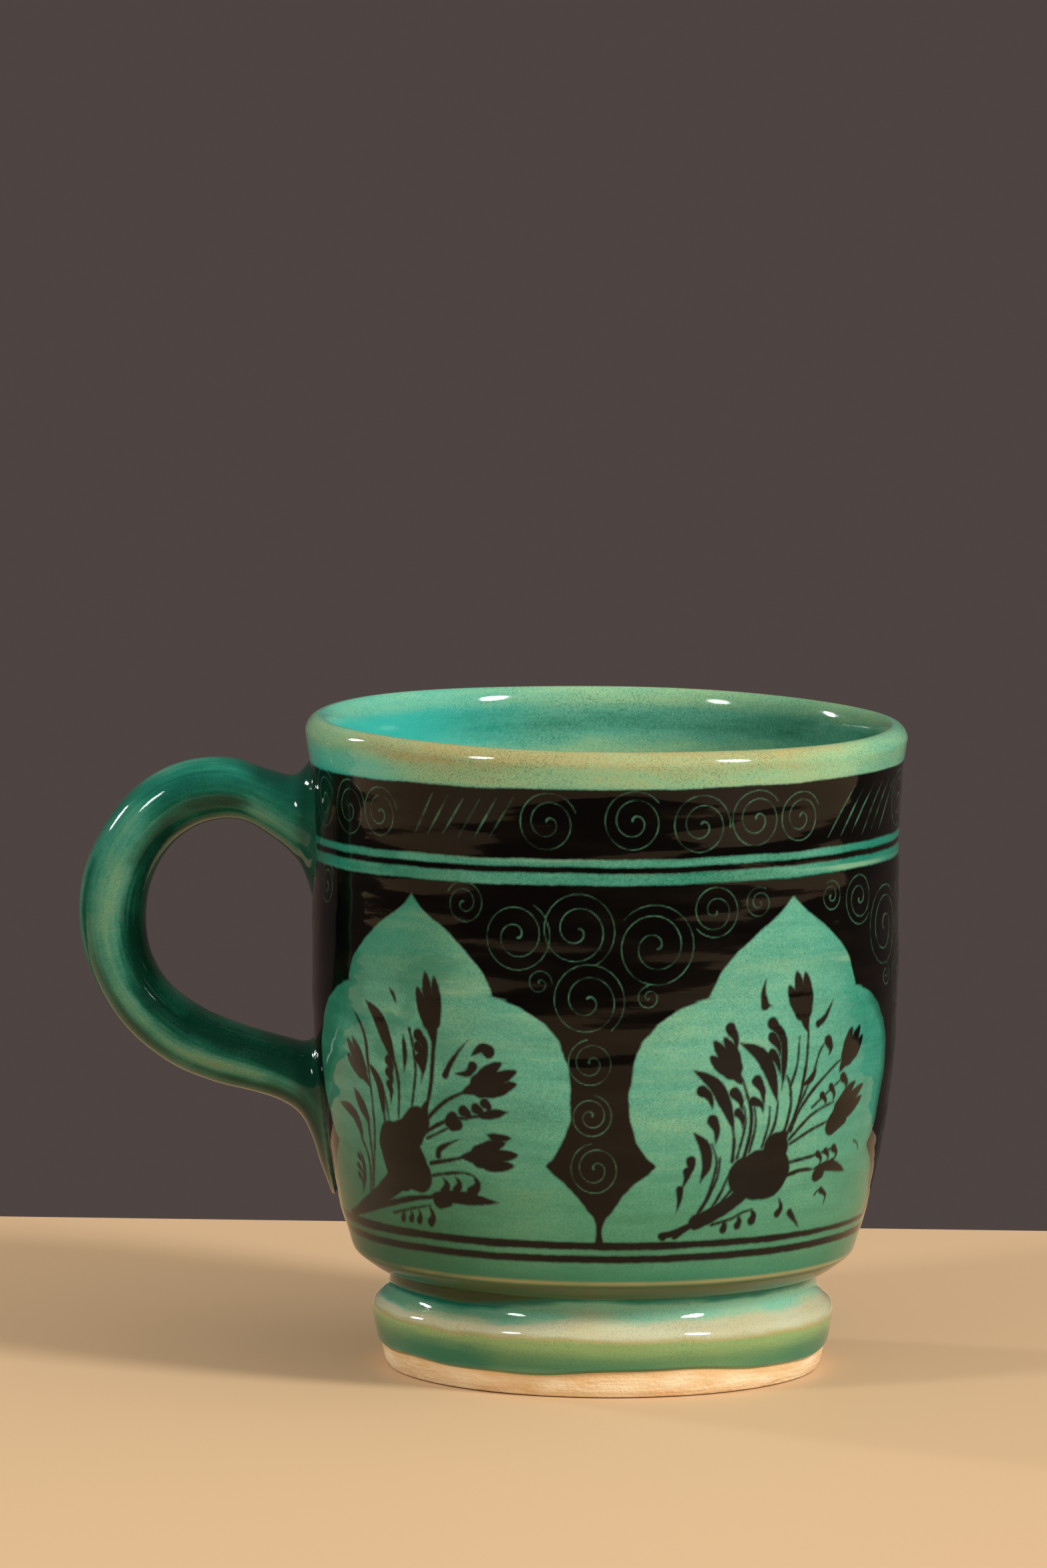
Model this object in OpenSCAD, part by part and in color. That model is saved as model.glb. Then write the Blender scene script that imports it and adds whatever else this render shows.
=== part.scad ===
// Hand-thrown mug with a turned foot ring, a pulled handle, painted slip and a green glaze.
// Millimetres. The mug stands on z = 0 with its axis on Z, and the handle points along -X.
// Every outside size is measured over the glaze, and the clay and the slip lie under it.

/* [Cup] */
// Height over the glazed lip
mug_h = 100; // [90:0.5:112]
// Thickness of the rounded lip
lip_t = 4.3; // [3.4:0.1:5.5]
// Height of the lip's rounding
lip_round = 2.3; // [1.5:0.1:3.5]
// How far the lip stands out over the widest wall
lip_out = 1.05; // [0.4:0.05:2]
// Depth of the slight waist below the lip
waist_drop = 20; // [15:0.5:24]
// How far the waist lies inside the widest wall
waist_in = 0.15; // [0.05:0.05:0.8]
// Height of the widest part of the wall
belly_z = 67; // [60:0.5:72]
// Outside diameter of the widest part
belly_d = 90.3; // [87:0.1:92]
// Height of the rounded lower corner above the foot
corner_h = 5.8; // [4.5:0.1:7.5]
// How far the wall lies inside its widest part, just above the lower corner
corner_in = 5.55; // [4.5:0.05:6.5]
// How far the cup's lower edge lies inside that
edge_in = 5.6; // [4.8:0.1:6.2]
// Thickness of the wall with its coats
wall_t = 4.3; // [3.5:0.1:5.5]
// Thickness of the floor with its coats
floor_t = 5.6; // [4.5:0.1:7.5]

/* [Foot] */
// Height of the foot ring
foot_h = 15; // [13:0.5:17]
// Outside diameter of the neck
neck_d = 66; // [64:0.1:67]
// Outside diameter of the collar
collar_d = 71.2; // [69:0.1:74]
// Outside diameter where the foot meets the table
foot_d = 66; // [63:0.1:68]
// Inside diameter of the foot ring at the table
bore_d = 53; // [48:0.5:57]
// Inside diameter of the foot ring under the floor
bore_top_d = 49; // [44:0.5:55]
// Height of the bare clay below the glaze
bare_h = 3.6; // [2.5:0.1:5]

/* [Handle] */
// How far the handle stands out from the widest wall
handle_reach = 35; // [32:0.5:42]
// Height of the handle from its tail to its top
handle_h = 68; // [64:0.5:69]
// Depth of the handle's top below the lip
handle_drop = 6; // [5.5:0.1:9]
// Thickness of the handle seen from the side
handle_t = 9.4; // [8:0.1:10.5]
// Width of the handle seen from the end
handle_w = 12.6; // [10:0.1:15]
// Diameter of the patch under each joint where no coat lies between handle and wall
patch_d = 9.2; // [7:0.1:9.4]

/* [Coats] */
// Thickness of the glaze
glaze_t = 0.35; // [0.25:0.05:0.5]
// Thickness of the slip
slip_t = 0.2; // [0.15:0.05:0.35]

/* [Ornament] */
// Depth of the green lip above the painted band
lip_band = 6.2; // [5:0.1:8]
// Height of the painted band
band_h = 10.7; // [9:0.1:12]
// Height of the thin green ring
thin_ring_h = 1.1; // [0.8:0.1:1.5]
// Height of the black line between the green rings
line_h = 1; // [0.8:0.1:1.5]
// Height of the broad green ring
broad_ring_h = 1.7; // [1.2:0.1:2.2]
// Height of the lower edge of the lowest black ring over the table
ring_z = 21.6; // [21:0.1:23]
// Height of that ring, and of the ring that closes the ground above it
ring_h = 1.2; // [0.8:0.1:1.5]
// Gap between the two
ring_gap = 0.9; // [0.6:0.1:1.2]
// Ground left between two windows where they come nearest
stem_w = 1.2; // [0.8:0.1:4]
// Ground left between a window's tip and the broad green ring
window_gap = 2.9; // [2:0.1:6]

/* [Hidden] */

// Overrun of every cut past the solid that it cuts
over = 1;
// Faces of every turned surface
turn_faces = 180;
// Points that a curve gets between two of its stations
curve_steps = 3;
// Sides of the handle's section
section_sides = 20;
// Clay under both coats
coat_t = glaze_t + slip_t;

clay_colour = [0.87, 0.78, 0.64];
slip_colour = [0.07, 0.05, 0.045];
glaze_colour = [0.25, 0.58, 0.45];
glaze_dark_colour = [0.12, 0.42, 0.33];

// Turns of the window centres from the handle, in degrees
window_turns = [52, 131.5, 215, 298.5];

// Curve through stations, by the Catmull-Rom formula
function bend(a, b, c, d, t) =
    (2 * b + (c - a) * t + (2 * a - 5 * b + 4 * c - d) * t * t
        + (3 * b - a - 3 * c + d) * t * t * t) / 2;
function curve(p, steps) = let (last = len(p) - 1) [
    for (i = [0 : last - 1]) for (k = [0 : steps - 1])
        bend(p[max(i - 1, 0)], p[i], p[i + 1], p[min(i + 2, last)], k / steps),
    p[last]
];
function mix(a, b, share) = a + (b - a) * share;
function mix_points(a, b, shares) =
    [for (s = shares) [mix(a[0], b[0], s[0]), mix(a[1], b[1], s[1])]];
function reversed(p) = [for (i = [len(p) - 1 : -1 : 0]) p[i]];

// A profile moved to its left by a distance, and kept on the outer side of the axis
function moved(p, distance) = let (last = len(p) - 1) [
    for (i = [0 : last])
        let (run = p[min(i + 1, last)] - p[max(i - 1, 0)], along = run / norm(run))
            [i == last ? p[i][0] : p[i][0] - along[1] * distance, p[i][1] + along[0] * distance]
];

// Profile of the glazed cup: up the outside, over the lip, down the inside to the axis
lip_d = belly_d + 2 * lip_out;
waist_d = belly_d - 2 * waist_in;
corner_d = belly_d - 2 * corner_in;
edge_d = corner_d - 2 * edge_in;
lip_z = mug_h - lip_round;
waist_z = mug_h - waist_drop;
corner_z = foot_h + corner_h;
floor_z = foot_h + floor_t;
edge_point = [edge_d / 2, foot_h];
corner_point = [corner_d / 2, corner_z];
belly_point = [belly_d / 2, belly_z];
waist_point = [waist_d / 2, waist_z];
lip_point = [lip_d / 2, lip_z];
corner_shares = [[0.52, 0.22], [0.84, 0.53]];
flank_shares = [[0.23, 0.12], [0.595, 0.325], [0.865, 0.556], [0.973, 0.783]];
flare_shares = [[0.25, 0.593], [0.75, 0.864]];
outer_stations = concat(
    [edge_point], mix_points(edge_point, corner_point, corner_shares),
    [corner_point], mix_points(corner_point, belly_point, flank_shares),
    [belly_point, waist_point], mix_points(waist_point, lip_point, flare_shares)
);
// The lip is half an ellipse, from the outside (0 degrees) over the crest to the inside
lip_middle = lip_d / 2 - lip_t / 2;
function lip_at(angle) = [lip_middle + lip_t / 2 * cos(angle), lip_z + lip_round * sin(angle)];
lip_stations = [for (angle = [0 : 30 : 180]) lip_at(angle)];
crest_place = 3;
wall_in = [wall_t, 0];
well_point = corner_point + [(belly_d - corner_d) / 2 * flank_shares[1][0],
    (belly_z - corner_z) * flank_shares[1][1]] - wall_in;
well_shares = [[0.94, 0.53], [0.815, 0.183], [0.62, 0.045], [0.31, 0.008], [0, 0]];
throat_shares = [[0.5, 0.6]];
inner_stations = concat(
    mix_points(waist_point, lip_point, throat_shares) - [wall_in],
    [waist_point - wall_in, belly_point - wall_in],
    mix_points(corner_point, belly_point, [flank_shares[3], flank_shares[2]]) - [wall_in, wall_in],
    [well_point],
    [for (s = well_shares) [well_point[0] * s[0], mix(floor_z, well_point[1], s[1])]]
);
cup_profile = curve(concat(outer_stations, lip_stations, inner_stations), curve_steps);
crest = (len(outer_stations) + crest_place) * curve_steps;

// The same profile on the clay, squared off where the cup stands on the foot
function squared(p) = concat([[p[0][0], foot_h]], [for (i = [1 : len(p) - 1]) p[i]]);
clay_profile = squared(moved(cup_profile, coat_t));
slip_profile = squared(moved(cup_profile, glaze_t));
function outside(p) = [for (i = [0 : crest]) p[i]];
function inside(p) = [for (i = [crest : len(p) - 1]) p[i]];

// Profile of the glazed foot, from the cup down to the table
// Shares of the way from the neck's radius to the collar's, and of the height above the bare clay
foot_shares = [[0.13, 1], [0, 0.862], [0.11, 0.75], [0.43, 0.654], [0.85, 0.559],
    [1, 0.46], [0.99, 0.37], [0.88, 0.24], [0.72, 0.08], [0.66, 0]];
foot_stations = mix_points([neck_d / 2, bare_h], [collar_d / 2, foot_h], foot_shares);
foot_profile = curve(foot_stations, curve_steps);
foot_clay = moved(foot_profile, -coat_t);
foot_clay_top = [foot_clay[0][0], foot_h];
bare_shares = [[0.9, 0.72], [0.55, 0.3], [0, 0]];
foot_end = foot_clay[len(foot_clay) - 1];
bare_profile = [for (s = bare_shares) [mix(foot_d / 2, foot_end[0], s[0]), bare_h * s[1]]];

// Part of a profile between two heights, ending exactly on them
function radius_at(p, z) = lookup(z, [for (q = outside(p)) [q[1], q[0]]]);
function stretch(p, low, high) = concat(
    [[radius_at(p, low), low]],
    [for (q = outside(p)) if (q[1] > low && q[1] < high) q],
    [[radius_at(p, high), high]]
);

// Heights of the painted bands, from the lip down
band_top = mug_h - lip_band;
band_low = band_top - band_h;
line_top = band_low - thin_ring_h;
line_low = line_top - line_h;
ground_top = line_low - broad_ring_h;
ground_low = ring_z + ring_h + ring_gap;
window_low = ground_low + ring_h;
window_h = ground_top - window_gap - window_low;

// Half a window: a pointed dome, a round lobe and a skirt, as shares of half its width and its height
dome_shares = [[0, 1], [0.075, 0.967], [0.163, 0.94], [0.266, 0.909], [0.4, 0.854],
    [0.504, 0.8], [0.56, 0.738], [0.567, 0.717]];
lobe_shares = [[0.567, 0.717], [0.625, 0.713], [0.722, 0.693], [0.849, 0.65], [0.937, 0.598],
    [0.984, 0.526], [1, 0.449], [0.972, 0.367], [0.913, 0.297], [0.829, 0.231]];
skirt_shares = [[0.829, 0.231], [0.915, 0.177], [0.968, 0.138], [1, 0.095], [1.012, 0.06], [0.995, 0]];
half_shares = concat(dome_shares, lobe_shares, skirt_shares);
function window_z(share) = window_low + share[1] * window_h;

// The widest window that leaves the stem between the nearest two, all the way up
half_turn = (window_turns[1] - window_turns[0]) / 2;
function room_at(share) =
    (radius_at(clay_profile, window_z(share)) * sin(half_turn) - stem_w / 2 * cos(half_turn)) / share[0];
half_window = min([for (s = half_shares) if (s[0] > 0) room_at(s)]);
function window_point(share, side) = [side * share[0] * half_window, window_z(share)];

// Handle: places of its spine, then its thickness, its width and the lean of its section
// Shares of the reach, of the height, of the thickness and of the width, and degrees
spine_shares = [
    [-0.11, 0.824, 2.15, 1.36, 90], [0.007, 0.842, 1.8, 1.26, 89], [0.081, 0.864, 1.32, 1.13, 85],
    [0.19, 0.9, 1.07, 1.03, 83], [0.354, 0.929, 1, 1, 78], [0.531, 0.915, 0.97, 1, 66],
    [0.69, 0.864, 0.97, 1, 49], [0.809, 0.788, 1, 1, 33], [0.864, 0.693, 1.02, 1, 17],
    [0.863, 0.596, 1.02, 1, 0], [0.807, 0.512, 0.97, 1, -18], [0.702, 0.436, 0.95, 1, -38],
    [0.548, 0.371, 0.96, 1, -58], [0.388, 0.332, 1, 1.01, -74], [0.23, 0.307, 1.01, 1.05, -82],
    [0.113, 0.29, 1, 1.14, -82], [0.021, 0.264, 1.09, 1.22, -80], [-0.051, 0.221, 1.22, 1.1, -76],
    [-0.107, 0.147, 1.14, 0.8, -70], [-0.154, 0.059, 0.88, 0.42, -70]
];
spine_places = curve(spine_shares, curve_steps);
handle_low = mug_h - handle_drop - handle_h;
spine_end = len(spine_places) - 1;
// Stations of the spine at the wall, above and below
upper_joint = spine_shares[1];
lower_joint = spine_shares[16];

function section_ring(place, grow) =
    let (
        half_t = handle_t / 2 * place[2] + grow,
        half_w = handle_w / 2 * place[3] + grow,
        lean = place[4],
        middle = [-belly_d / 2 - handle_reach * place[0], 0, handle_low + handle_h * place[1]]
    )
    [for (k = [0 : section_sides - 1])
        let (angle = 360 * k / section_sides, out = half_t * cos(angle))
            middle + [-out * cos(lean), half_w * sin(angle), out * sin(lean)]];

function ring_faces(first, second, k) =
    let (next = (k + 1) % section_sides)
    [[first + k, first + next, second + next], [first + k, second + next, second + k]];

// The handle as one closed skin over its rings
module swept(grow) {
    rings = [for (place = spine_places) section_ring(place, grow)];
    points = [for (r = rings) for (q = r) q];
    sides = [for (i = [0 : spine_end - 1]) for (k = [0 : section_sides - 1])
        each ring_faces(i * section_sides, (i + 1) * section_sides, k)];
    start_cap = [for (k = [section_sides - 1 : -1 : 0]) k];
    end_cap = [for (k = [0 : section_sides - 1]) spine_end * section_sides + k];
    polyhedron(points, concat([start_cap], sides, [end_cap]));
}

// A coat round the handle, open at both ends: an outer skin, an inner one and a ring at each end
module swept_coat(thickness) {
    outer = [for (place = spine_places) for (q = section_ring(place, thickness)) q];
    inner = [for (place = spine_places) for (q = section_ring(place, 0)) q];
    shift = len(outer);
    last = spine_end * section_sides;
    sides = [for (i = [0 : spine_end - 1]) for (k = [0 : section_sides - 1])
        let (a = i * section_sides, b = a + section_sides)
            each concat(ring_faces(a, b, k), ring_faces(shift + b, shift + a, k))];
    ends = [for (k = [0 : section_sides - 1])
        each concat(ring_faces(shift, 0, k), ring_faces(last, shift + last, k))];
    polyhedron(concat(outer, inner), concat(sides, ends));
}

module turned(p) {
    rotate_extrude($fn = turn_faces) polygon(p);
}

// The outside of the cup filled to its axis
module cup_form(p) {
    turned(concat([[0, foot_h - over]], [[p[0][0], foot_h - over]], outside(p), [[0, p[crest][1]]]));
}

// The patch on the wall where a joint's clay passes through the coats
module joint_patch(joint) {
    translate([-belly_d / 2 - over, 0, handle_low + handle_h * joint[1]])
        rotate([0, 90, 0]) cylinder(h = belly_d / 2, d = patch_d, $fn = turn_faces);
}

module joint_patches() {
    joint_patch(upper_joint);
    joint_patch(lower_joint);
}

// A painted band between two heights
module slip_between(low, high) {
    difference() {
        turned(concat(stretch(slip_profile, low, high), reversed(stretch(clay_profile, low, high))));
        joint_patches();
    }
}

// The same band reaching into the clay, to cut its bed in the glaze
module slip_bed(low, high) {
    inner = [for (q = reversed(stretch(clay_profile, low, high))) q - [over, 0]];
    turned(concat(stretch(slip_profile, low, high), inner));
}

module window_cutter() {
    outline = concat(
        [for (s = half_shares) window_point(s, 1)],
        [for (s = reversed(half_shares)) if (s[0] > 0) window_point(s, -1)]
    );
    rotate([90, 0, 0]) linear_extrude(lip_d) polygon(outline);
}

module windows() {
    for (turn = window_turns) rotate([0, 0, turn - 90]) window_cutter();
}

module body() {
    color(clay_colour) turned(concat(clay_profile, [[0, foot_h]]));
}

module foot() {
    color(clay_colour) turned(concat(
        [[bore_top_d / 2, foot_h], foot_clay_top],
        [for (i = [1 : len(foot_clay) - 1]) foot_clay[i]],
        bare_profile,
        [[bore_d / 2, 0]]
    ));
}

module handle() {
    color(clay_colour) difference() {
        swept(0);
        difference() {
            cup_form(cup_profile);
            difference() {
                joint_patches();
                cup_form(clay_profile);
            }
        }
    }
}

module slip_band() {
    color(slip_colour) slip_between(band_low, band_top);
}

module slip_line() {
    color(slip_colour) slip_between(line_low, line_top);
}

module slip_ground() {
    color(slip_colour) difference() {
        slip_between(ground_low, ground_top);
        windows();
    }
}

module slip_ring() {
    color(slip_colour) slip_between(ring_z, ring_z + ring_h);
}

module glaze_outside() {
    color(glaze_colour) difference() {
        turned(concat(outside(cup_profile), reversed(outside(clay_profile))));
        slip_bed(band_low, band_top);
        slip_bed(line_low, line_top);
        difference() {
            slip_bed(ground_low, ground_top);
            windows();
        }
        slip_bed(ring_z, ring_z + ring_h);
        joint_patches();
    }
}

module glaze_inside() {
    color(glaze_colour) turned(concat(inside(cup_profile), reversed(inside(clay_profile))));
}

module glaze_handle() {
    color(glaze_dark_colour) difference() {
        swept_coat(glaze_t);
        cup_form(cup_profile);
    }
}

module glaze_foot() {
    color(glaze_dark_colour) turned(concat(
        foot_profile,
        reversed(concat([foot_clay_top], [for (i = [1 : len(foot_clay) - 1]) foot_clay[i]]))
    ));
}

body();
foot();
handle();
slip_band();
slip_line();
slip_ground();
slip_ring();
glaze_outside();
glaze_inside();
glaze_handle();
glaze_foot();
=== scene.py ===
"""Looks of a hand-thrown mug: painted black slip and streaked green glaze over pale clay."""

from math import cos, pi, radians, sin

import bpy
import numpy as np
from bpy.props import FloatProperty, FloatVectorProperty, IntProperty, PointerProperty
from mathutils import Matrix, Vector


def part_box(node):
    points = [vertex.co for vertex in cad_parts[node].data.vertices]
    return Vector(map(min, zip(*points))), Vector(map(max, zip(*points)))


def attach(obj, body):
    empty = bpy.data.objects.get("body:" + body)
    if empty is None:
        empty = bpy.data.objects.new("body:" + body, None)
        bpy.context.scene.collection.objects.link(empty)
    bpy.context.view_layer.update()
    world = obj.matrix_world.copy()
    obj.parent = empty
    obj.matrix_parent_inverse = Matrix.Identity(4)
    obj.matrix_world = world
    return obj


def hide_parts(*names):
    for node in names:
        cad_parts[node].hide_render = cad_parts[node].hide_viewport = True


bl_info = {
    "name": "Painted Mug",
    "version": (1, 0, 0),
    "blender": (4, 5, 0),
    "location": "View3D > Sidebar > Mug",
    "description": "Glazed skins, bare clay, lamps and camera for a thrown mug",
    "category": "Object",
}

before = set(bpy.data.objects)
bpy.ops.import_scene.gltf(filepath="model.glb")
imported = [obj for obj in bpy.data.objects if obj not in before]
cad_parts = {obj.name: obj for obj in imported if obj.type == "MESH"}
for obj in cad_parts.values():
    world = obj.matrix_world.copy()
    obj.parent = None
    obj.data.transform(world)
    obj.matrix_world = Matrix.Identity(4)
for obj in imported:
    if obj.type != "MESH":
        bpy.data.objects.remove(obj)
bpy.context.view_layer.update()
MM = 0.001

# Heights that come from the CAD nodes, in millimetres
FOOT_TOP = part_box("foot")[1].z / MM
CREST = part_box("glaze_inside")[1].z / MM
BAND = [corner.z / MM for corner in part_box("slip_band")]
LINE = [corner.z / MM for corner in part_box("slip_line")]
GROUND = [corner.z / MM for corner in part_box("slip_ground")]
RING = [corner.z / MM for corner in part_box("slip_ring")]
BARE_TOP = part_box("glaze_foot")[0].z / MM

# Glaze over clay, in millimetres
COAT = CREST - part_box("body")[1].z / MM

# Outline of the glazed cup in millimetres: radius and height, from the neck up the outside
WALL_STATIONS = [
    (33.1, 15.2), (33.7, 15), (34.3, 15.15), (35.4, 15.65), (37, 16.75), (38.1, 17.6), (38.7, 18.4),
    (39.5, 20.8), (41.1, 26.3), (43.1, 35.8), (44.5, 46.5), (45.05, 57), (45.15, 67), (45, 80),
    (45.3, 90.5), (45.85, 95.3),
]
# The lip is rounded over this middle: half width, drop outside and drop inside
LIP_MIDDLE = (44.05, 97.7)
LIP_AXES = (2.15, 2.3, 3.6)
# Then down the inside to the floor
INNER_STATIONS = [
    (41.25, 91.5), (40.7, 80), (40.85, 67), (40.7, 57), (40.1, 46.5), (38.6, 35.8),
    (36.3, 28.7), (31.5, 23.4), (23.9, 21.3), (12, 20.7), (0, 20.6),
]
# Height of the arris where the wall turns in to the neck
CORNER = 18.2

# Gaps between the points of the outlines, in millimetres
PLAIN_GAP, PAINTED_GAP, LIP_GAP = 0.5, 0.262, 0.42
CUP_GAP, FOOT_GAP, RING_GAP = 1.1, 0.16, 0.3
# Points closer than this are joined, in metres
MERGE = 0.000002

FOOT_STATIONS = [
    (33.3, 15.2), (33, 13.45), (33.3, 12.2), (34.1, 11.1), (35.2, 9.95), (35.6, 8.85),
    (35.55, 7.8), (35.3, 6.3), (34.9, 4.6), (34.7, 3.6),
]
CLAY_STATIONS = [
    (34.3, 6.5), (34.25, 4.6), (34.05, 2.6), (33.7, 1.1), (33.3, 0.35), (32.7, 0),
    (27.3, 0), (26.7, 0.3), (26.35, 1.2), (25.4, 7.5), (24.5, 15.4),
]

# Refractive indices
GLAZE_INDEX = 1.33
CLAY_INDEX = 1.45

# Degrees round the wall, from the camera's side to the photograph's right
CAMERA_TURN = 2.5
# Chart of the wall: millimetres round it are measured on this radius
CHART_RADIUS = 45

# Half a window: millimetres from its middle on the chart, and height
WINDOW_EDGE = [
    (0, 76.6), (1.2, 75.4), (2.3, 74.4), (4.1, 73.2), (6.8, 71.6), (10.2, 68.9), (12.9, 66),
    (14.3, 63), (14.6, 61.9), (15.3, 62), (16.2, 61.6), (18.9, 60.6), (22.4, 58.4), (24.9, 55.7),
    (26.5, 52), (27, 48), (26.6, 43.8), (25.2, 40.2), (23.6, 37.7), (22.4, 36.7), (23.6, 35.5),
    (25.8, 34), (27.8, 32), (29.4, 29.8), (30.4, 28.6), (30.8, 27.6), (30.8, 26.2), (30.4, GROUND[0] + 1.2),
]


def curve(stations, steps):
    """A smooth line through the stations, by the Catmull-Rom formula."""
    p = np.asarray(stations, float)
    q = np.vstack([p[:1], p, p[-1:]])
    t = np.linspace(0, 1, steps, endpoint=False)[:, None]
    runs = [
        (2 * b + (c - a) * t + (2 * a - 5 * b + 4 * c - d) * t**2 + (3 * b - a - 3 * c + d) * t**3) / 2
        for a, b, c, d in zip(q, q[1:], q[2:], q[3:])
    ]
    return np.vstack(runs + [p[-1:]])


def lengths(path):
    return np.concatenate([[0], np.cumsum(np.linalg.norm(np.diff(path, axis=0), axis=1))])


def shares(path):
    return lengths(path) / lengths(path)[-1]


def spaced(path, gap):
    """The same line with points about a gap apart."""
    run = lengths(path)
    at = np.linspace(0, run[-1], max(2, int(round(run[-1] / gap)) + 1))
    return np.column_stack([np.interp(at, run, column) for column in path.T])


def smooth(low, high, value):
    share = np.clip((value - low) / (high - low), 0, 1)
    return share * share * (3 - 2 * share)


def lip_stations():
    wide, outer, inner = LIP_AXES
    crest = LIP_MIDDLE[1] + outer
    turns = [(radians(a), outer if a < 90 else inner) for a in range(0, 171, 15)]
    return [(LIP_MIDDLE[0] + wide * cos(a), crest - drop * (1 - sin(a))) for a, drop in turns]


def cup_paths():
    """Outlines of the outer skins and of the inside, which meet just inside the lip's crest."""
    whole = curve(WALL_STATIONS + lip_stations() + INNER_STATIONS, 12)
    seam = np.argmax(whole[:, 1]) + 6
    return whole[:seam + 1], spaced(whole[seam:], PLAIN_GAP)


def wall_path():
    """Outline of the outer skins: fine over the painting, coarser on the lower corner and the lip."""
    whole = cup_paths()[0]
    low = np.argmax(whole[:, 1] > RING[0] - 1.2)
    high = np.argmax(whole[:, 1] > BAND[1] + 1)
    corner, painted = spaced(whole[:low + 1], PLAIN_GAP), spaced(whole[low:high + 1], PAINTED_GAP)
    return np.vstack([corner, painted[1:], spaced(whole[high:], LIP_GAP)[1:]])


# Waves of the throwing: depth in millimetres, how fast they climb, how many go round, and start
WAVES = (
    (0.06, 0.05, 2, 0), (0.034, 0.45, 3, 0), (0.03, 0.52, -5, 1), (0.016, 0.97, 4, 2), (0.015, 1.13, -8, 0.5),
    (0.004, 2.05, 7, 3), (0.004, 2.4, -11, 1.7),
)


def thrown(side, height):
    """Rings and waves left by the throwing, in millimetres out from the true wall."""
    a = np.radians(side)
    return sum(deep * np.sin(height * climb + count * a + start) for deep, climb, count, start in WAVES)


def lean(side, height):
    """How far the hand-cut lip stands over or under its true height: low in front and to the right."""
    a = np.radians(side)
    rise = -0.5 * np.sin(a) - 0.85 * np.cos(a) + 0.06 * np.sin(5 * a)
    return rise * smooth(92, 99.5, height)


def painted_tilt(side, height):
    """The painted rings climb a little to the right, the upper ones most."""
    return (0.3 + 0.3 * smooth(40, 80, height)) * np.sin(np.radians(side))


def stand(side, radius, height):
    """Points in metres for sides in degrees, radii and heights in millimetres."""
    a = np.radians(270 + CAMERA_TURN + side)
    return np.column_stack([radius * np.cos(a), radius * np.sin(a), height]) * MM


# Modelling, as by hand with the mesh tools


def edited(operator, **settings):
    """Runs an edit mode operator on all of the object just added."""
    bpy.ops.object.mode_set(mode="EDIT")
    bpy.ops.mesh.select_all(action="SELECT")
    operator(**settings)
    bpy.ops.object.mode_set(mode="OBJECT")


def sheet_of(name, columns, rows, place):
    """A grid on a form: place() turns the points' shares of the grid into their places and their UVs."""
    bpy.ops.object.select_all(action="DESELECT")
    bpy.ops.mesh.primitive_grid_add(x_subdivisions=columns, y_subdivisions=rows, size=1)
    piece = bpy.context.object
    piece.name = piece.data.name = name
    mesh = piece.data
    flat = np.empty(len(mesh.vertices) * 3)
    mesh.vertices.foreach_get("co", flat)
    across, up = flat[0::3] + 0.5, flat[1::3] + 0.5
    points, uv = place(across, up)
    mesh.vertices.foreach_set("co", np.ascontiguousarray(points).ravel())
    corners = np.empty(len(mesh.loops), np.int32)
    mesh.loops.foreach_get("vertex_index", corners)
    layer = mesh.uv_layers.active
    layer.name = "OFBake"
    layer.data.foreach_set("uv", np.ascontiguousarray(uv[corners]).ravel())
    mesh.update()
    bpy.ops.object.shade_smooth()
    return piece


def closed(piece):
    """Joins a turned sheet's first column to its last, and its pole to one point."""
    edited(bpy.ops.mesh.remove_doubles, threshold=MERGE)
    return piece


def turned(name, path, columns, shape, first=-180, last=180):
    """A skin turned from a path of radii and heights, between two sides in degrees."""
    share = shares(path)

    def place(across, up):
        row = np.rint(up * (len(path) - 1)).astype(int)
        side = first + (last - first) * across
        return stand(side, *shape(side, *path[row].T)), np.column_stack([across, share[row]])

    return sheet_of(name, columns, len(path) - 1, place)


def finished(piece, finish, slot, *nodes):
    """Gives a piece its material and ties it to the frame."""
    piece.data.materials.append(finish)
    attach(piece, "root")
    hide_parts(*nodes)


# Brushwork on the wall's chart: marks are paths with half widths, all in millimetres

# How wide each kind of mark is along its run, as a share
BRUSHES = {
    "line": lambda t: 1 - 0.45 * t**3,
    "drop": lambda t: (1 - t) ** 0.75,
    "leaf": lambda t: np.sin(pi * np.clip(t, 0.02, 0.98) ** 0.9) ** 0.85,
    "petal": lambda t: np.sin(pi * (0.08 + 0.9 * t)) ** 0.6,
    "blob": lambda t: 1 + 0 * t,
}
# How much wider than drawn each kind of mark spreads in the glaze
BRUSH_LOAD = {"line": 1.1, "drop": 1.15, "leaf": 1.15, "petal": 1, "blob": 1.12}


def mark(kind, width, *points):
    path = curve(points, 5) if len(points) > 2 else spaced(np.asarray(points, float), 0.5)
    return path, width / 2 * BRUSH_LOAD[kind] * BRUSHES[kind](shares(path))


def tulip(width, foot, tip):
    """A tulip head: a round cup that tapers to the stem, and three blunt petals."""
    foot, tip = np.array(foot, float), np.array(tip, float)
    along = tip - foot
    aside = np.array([-along[1], along[0]]) / np.linalg.norm(along) * width * 0.5
    marks = [
        mark("drop", width * 0.62, foot + along * 0.36, foot + along * 0.12, foot - along * 0.1),
        mark("blob", width * 0.8, foot + along * 0.32, foot + along * 0.52),
        mark("petal", width * 0.5, foot + along * 0.3, foot + along * 0.66, tip),
    ]
    for hand, reach in ((1, 0.8), (-1, 0.92)):
        out = aside * hand
        marks.append(mark(
            "petal", width * 0.5, foot + along * 0.2 + out * 0.3, foot + along * 0.5 + out * 0.66,
            foot + along * reach + out * (1.7 - reach),
        ))
    return marks


# Width of a line scratched through the slip
SCRATCH = 0.24


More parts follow.
